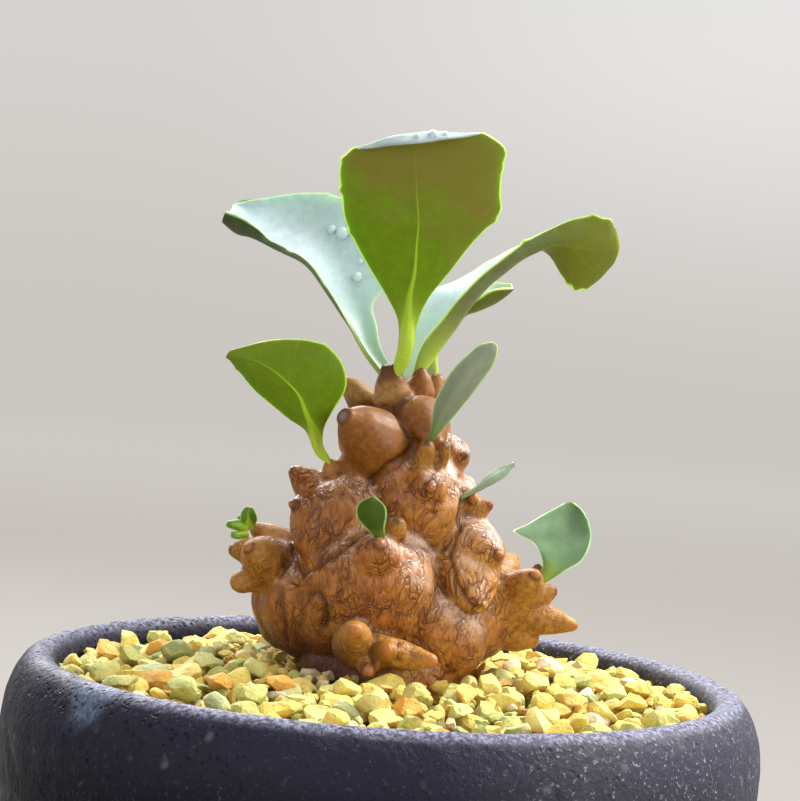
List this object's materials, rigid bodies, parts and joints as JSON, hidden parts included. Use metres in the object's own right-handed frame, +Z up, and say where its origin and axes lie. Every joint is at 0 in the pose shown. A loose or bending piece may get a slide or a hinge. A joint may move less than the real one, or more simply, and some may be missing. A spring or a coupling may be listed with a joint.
{
  "type": "potted othonna herrei",
  "caption": "Caudex succulent with a knobbly tan stem and broad blue-green leaves, dressed with pebbles in a dark rounded stoneware pot.",
  "frame": {"origin": "centre of the pot's foot, on the surface that it stands on", "axes": "+Z up, -Y towards the front"},
  "size_m": [0.119, 0.119, 0.1527],
  "materials": {
    "stoneware": "dark blue-black, rough and pitted with pale specks",
    "net": "moulded",
    "soil": "gritty potting mix",
    "pebbles": "matt pale yellow, green and orange stones",
    "bark": "satin, finely fissured tan skin",
    "leaf": "smooth succulent blade, glaucous above"
  },
  "bodies": {
    "root": {"pot": "stoneware", "drain_net": "net", "soil": "soil", "gravel": "pebbles", "caudex": "bark", "leaf_top_centre": "leaf", "leaf_top_left": "leaf", "leaf_top_right": "leaf", "leaf_back_right": "leaf", "leaf_left": "leaf", "leaf_right": "leaf", "leaf_sprout_right": "leaf", "leaf_low_right": "leaf", "leaf_round_front": "leaf", "shoot_left": "leaf"}
  },
  "joints": []
}
